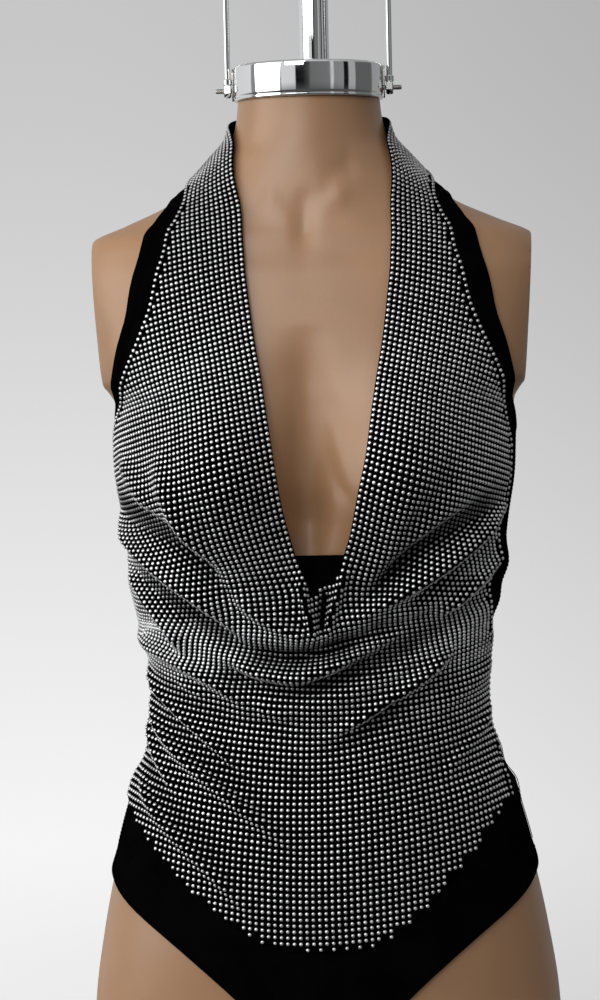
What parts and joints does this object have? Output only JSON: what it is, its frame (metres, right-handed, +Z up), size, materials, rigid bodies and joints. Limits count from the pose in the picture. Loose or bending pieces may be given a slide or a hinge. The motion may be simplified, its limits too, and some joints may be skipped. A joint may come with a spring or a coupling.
{
  "type": "rhinestone bodysuit on a dress form",
  "caption": "Halter bodysuit with a draped, rhinestone-covered cowl front over a black base layer, worn on a limbless dress form with a chrome neck cap, post and bail.",
  "frame": {"origin": "middle of the footprint on the plane of the form's flat base", "axes": "+Z up along the body, -Y out of the garment's front, +X to the right for someone facing the front"},
  "size_m": [0.352, 0.2596, 0.9414],
  "materials": {
    "rhinestone_mesh": "black stretch mesh covered with a grid of silver rhinestones",
    "black_jersey": "matt black stretch jersey",
    "form_skin": "smooth satin tan",
    "chrome": "bright polished"
  },
  "bodies": {
    "form": {"dress_form": "form_skin", "neck_cap": "chrome", "neck_post": "chrome", "lug_left": "chrome", "lug_right": "chrome", "bolt_left": "chrome", "bolt_right": "chrome", "front_overlay": "rhinestone_mesh", "base_front": "black_jersey", "base_back": "black_jersey", "gusset": "black_jersey"},
    "bail": {"bail": "chrome"}
  },
  "joints": [
    {"name": "bail_swing", "type": "hinge", "parent": "form", "child": "bail", "pos_m": [0, 0, 0.785], "axis": [1, 0, 0], "range_deg": [-110, 110]}
  ]
}
